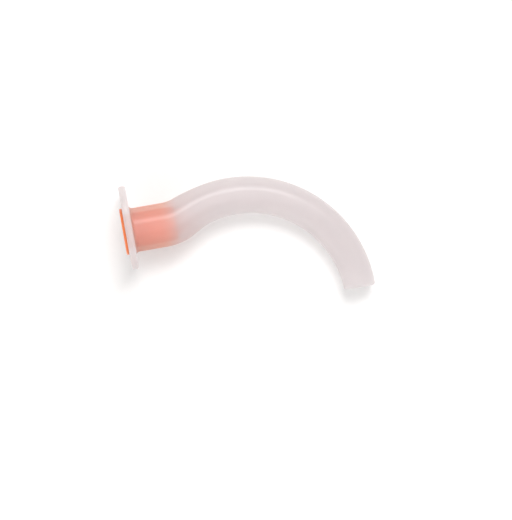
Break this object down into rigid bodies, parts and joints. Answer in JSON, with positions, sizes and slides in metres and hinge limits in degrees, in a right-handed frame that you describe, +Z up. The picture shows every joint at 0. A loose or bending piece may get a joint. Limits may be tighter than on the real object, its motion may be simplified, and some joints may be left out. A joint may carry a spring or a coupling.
{
  "type": "oropharyngeal airway",
  "caption": "Curved oral airway tube in milky plastic with a lip flange and an orange bite insert.",
  "frame": {"origin": "middle of the bounding box at the table, with the airway lying on its side as it rests", "axes": "+X along the bite section towards the bend, +Y towards the palate side of the tube, +Z up from the table"},
  "size_m": [0.0918, 0.0538, 0.0388],
  "materials": {
    "milky_plastic": "milky translucent, satin",
    "orange_plastic": "smooth moulded"
  },
  "bodies": {
    "root": {"airway_body": "milky_plastic", "bite_insert": "orange_plastic"}
  },
  "joints": []
}
